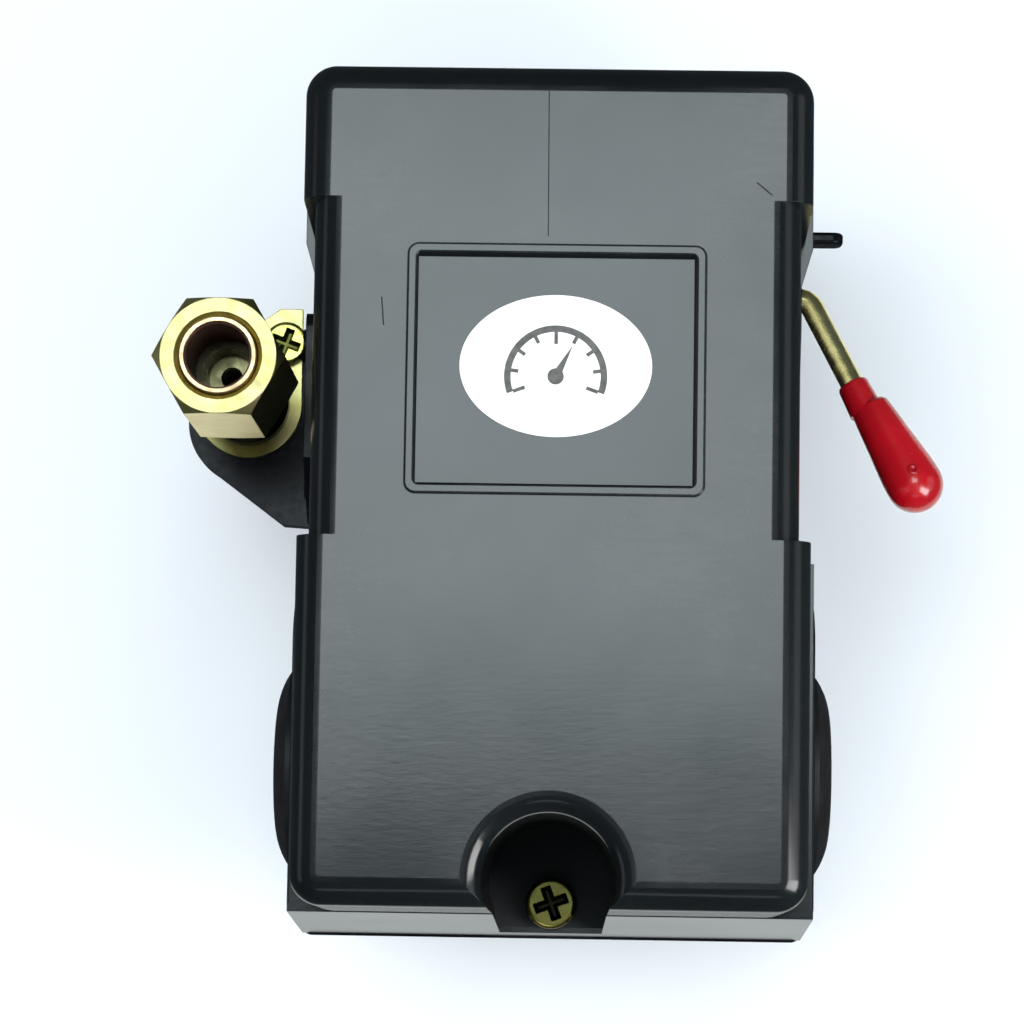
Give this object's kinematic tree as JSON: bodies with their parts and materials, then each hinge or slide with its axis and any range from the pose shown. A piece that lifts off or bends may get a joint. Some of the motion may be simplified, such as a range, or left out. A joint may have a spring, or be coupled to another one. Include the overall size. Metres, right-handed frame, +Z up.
{
  "type": "pressure switch",
  "caption": "Compressor pressure switch: moulded cover on a steel frame, ported manifold, hand lever, cable grommets and an unloader valve on a side bracket.",
  "frame": {"origin": "centre of the main port's mouth, at the underside of the manifold", "axes": "+Z up through the main port to the cover's top, -Y towards the cable and cover-screw end, +X towards the hand lever"},
  "size_m": [0.1009, 0.1082, 0.0965],
  "materials": {
    "black_plastic": "satin moulded black plastic",
    "black_steel": "black enamelled steel sheet",
    "zinc_steel": "yellow zinc-plated steel",
    "bright_steel": "bright zinc-plated steel",
    "spring_steel": "oiled spring steel",
    "brass": "olive-tinted brass",
    "copper": "copper alloy",
    "cast_alloy": "die-cast, shot-blasted",
    "rubber": "matte black rubber",
    "red_vinyl": "dipped red vinyl, glossy",
    "label_white": "printed white film",
    "bakelite": "dark brown moulding compound"
  },
  "bodies": {
    "housing": {"cover": "black_plastic", "label": "label_white", "cover_screw": "zinc_steel", "frame": "black_steel", "earth_screws": "zinc_steel", "grommet_left": "rubber", "grommet_right": "rubber", "manifold": "cast_alloy", "diaphragm": "rubber", "flange_screws": "bright_steel", "contact_block": "bakelite", "block_screws": "bright_steel", "fixed_contacts": "copper", "terminal_clamps": "bright_steel", "terminal_screws": "bright_steel", "pivot_pin": "bright_steel", "pivot_clips": "spring_steel", "range_stud": "bright_steel", "range_seat": "zinc_steel", "main_spring": "spring_steel", "differential_stud": "bright_steel", "differential_seat": "zinc_steel", "differential_spring": "spring_steel", "unloader_bracket": "black_steel", "bracket_rivets": "black_steel", "valve_flange": "zinc_steel", "valve_screw": "zinc_steel", "valve_body": "brass", "valve_nut": "zinc_steel", "ferrule": "copper", "valve_spring": "spring_steel", "valve_spring_plug": "brass"},
    "rocker": {"rocker": "zinc_steel"},
    "piston": {"piston": "brass"},
    "contact_carrier": {"contact_carrier": "bakelite", "bridge_contacts": "copper"},
    "valve_stem": {"valve_stem": "brass"},
    "range_nut": {"range_nut": "bright_steel"},
    "differential_nut": {"differential_nut": "bright_steel"},
    "lever": {"lever_rod": "zinc_steel", "lever_cap": "red_vinyl", "lever_clips": "spring_steel", "lever_cam": "bright_steel"}
  },
  "joints": [
    {"name": "lever_turn", "type": "hinge", "parent": "housing", "child": "lever", "pos_m": [0, 0.0259, 0.054], "axis": [-1, 0, 0], "range_deg": [0, 50]},
    {"name": "rocker_tilt", "type": "hinge", "parent": "housing", "child": "rocker", "pos_m": [0, 0.038, 0.0472], "axis": [-1, 0, 0], "range_deg": [0, 3], "stiffness_Nm_per_rad": 1, "springref_deg": -5.73, "deforming": ["main_spring", "differential_spring"]},
    {"name": "piston_slide", "type": "slide", "parent": "housing", "child": "piston", "axis": [0, 0, 1], "range_m": [0, 0.0021]},
    {"name": "contact_slide", "type": "slide", "parent": "housing", "child": "contact_carrier", "axis": [0, 0, 1], "range_m": [0, 0.0031]},
    {"name": "valve_stem_slide", "type": "slide", "parent": "housing", "child": "valve_stem", "axis": [0, 0, 1], "range_m": [0, 0.0015], "deforming": ["valve_spring"]},
    {"name": "range_nut_turn", "type": "hinge", "parent": "housing", "child": "range_nut", "pos_m": [0, 0.0135, 0.081], "axis": [0, 0, 1], "continuous": true},
    {"name": "differential_nut_turn", "type": "hinge", "parent": "housing", "child": "differential_nut", "pos_m": [0.011, -0.0055, 0.063], "axis": [0, 0, 1], "continuous": true}
  ],
  "couplings": [
    {"joint": "piston_slide", "follows": "rocker_tilt", "m_per_rad": 0.038},
    {"joint": "contact_slide", "follows": "rocker_tilt", "m_per_rad": 0.057},
    {"joint": "valve_stem_slide", "follows": "rocker_tilt", "m_per_rad": 0.02615}
  ]
}
